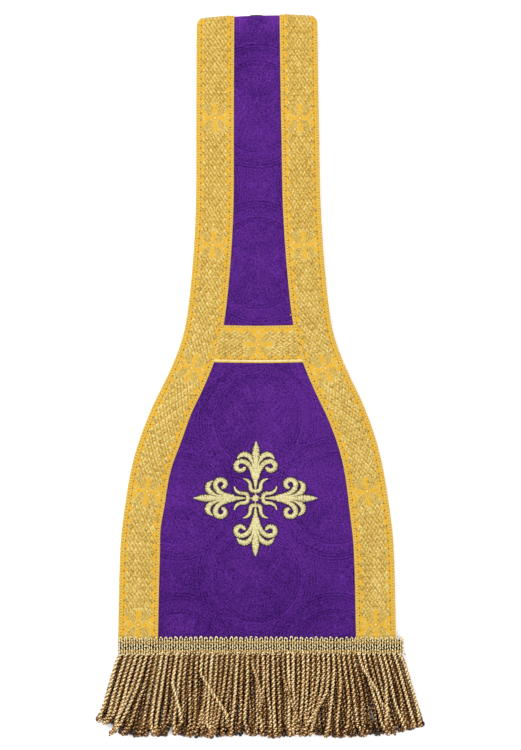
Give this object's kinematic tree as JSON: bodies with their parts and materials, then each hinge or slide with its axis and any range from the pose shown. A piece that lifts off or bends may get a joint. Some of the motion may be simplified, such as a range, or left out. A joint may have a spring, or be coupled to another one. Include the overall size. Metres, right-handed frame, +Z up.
{
  "type": "roman maniple",
  "caption": "Folded liturgical band with spade-shaped ends, gold galloons, a crossbar, an embroidered cross fleury and bullion fringe.",
  "frame": {"origin": "centre of the bounding box's base, on the surface that the maniple lies on", "axes": "+Y from the fringed hems to the fold, +X across the band to the right seen from above, +Z up through the front leg"},
  "size_m": [0.2154, 0.4846, 0.0096],
  "materials": {
    "damask": "purple tone-on-tone damask, matt ground and softly shining figure",
    "gold_braid": "woven gold galloon, satin with a fine lozenge weave",
    "gold_thread": "pale gold satin stitch, soft metallic sheen",
    "bullion": "twisted antique gold cord, satin"
  },
  "bodies": {
    "root": {"band": "damask", "galloon_left": "gold_braid", "galloon_right": "gold_braid", "crossbar_front": "gold_braid", "crossbar_back": "gold_braid", "cross_front": "gold_thread", "cross_fold": "gold_thread", "fringe_front": "bullion", "fringe_back": "bullion"}
  },
  "joints": []
}
